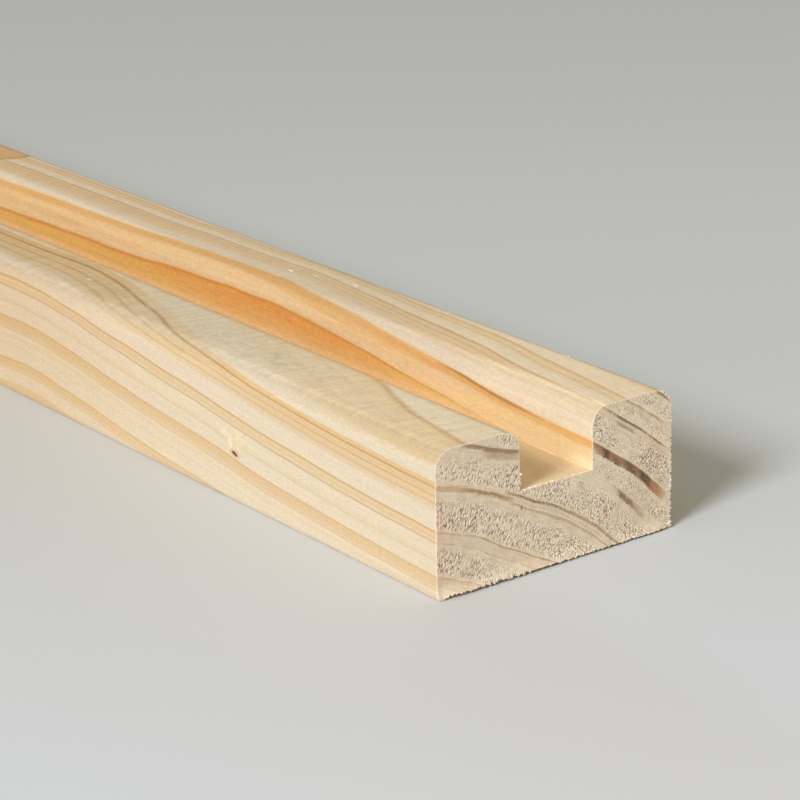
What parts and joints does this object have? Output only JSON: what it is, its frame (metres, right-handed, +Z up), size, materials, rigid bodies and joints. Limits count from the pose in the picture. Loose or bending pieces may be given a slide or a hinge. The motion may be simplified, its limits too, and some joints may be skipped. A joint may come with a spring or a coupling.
{
  "type": "channel moulding",
  "caption": "Straight length of bare planed softwood moulding with a flat-bottomed groove along its top and rounded upper edges, sawn square at both ends.",
  "frame": {"origin": "on the floor under the middle of the length, at the centre of the base", "axes": "+X along the length towards the sawn end that the picture shows, +Z up out of the open side of the groove, and -Y towards the long side that the picture shows"},
  "size_m": [0.9, 0.045, 0.023],
  "materials": {
    "bare_pine": "bare planed softwood with a visible ring figure, and rough sawn end grain"
  },
  "bodies": {
    "root": {"channel_moulding": "bare_pine"}
  },
  "joints": []
}
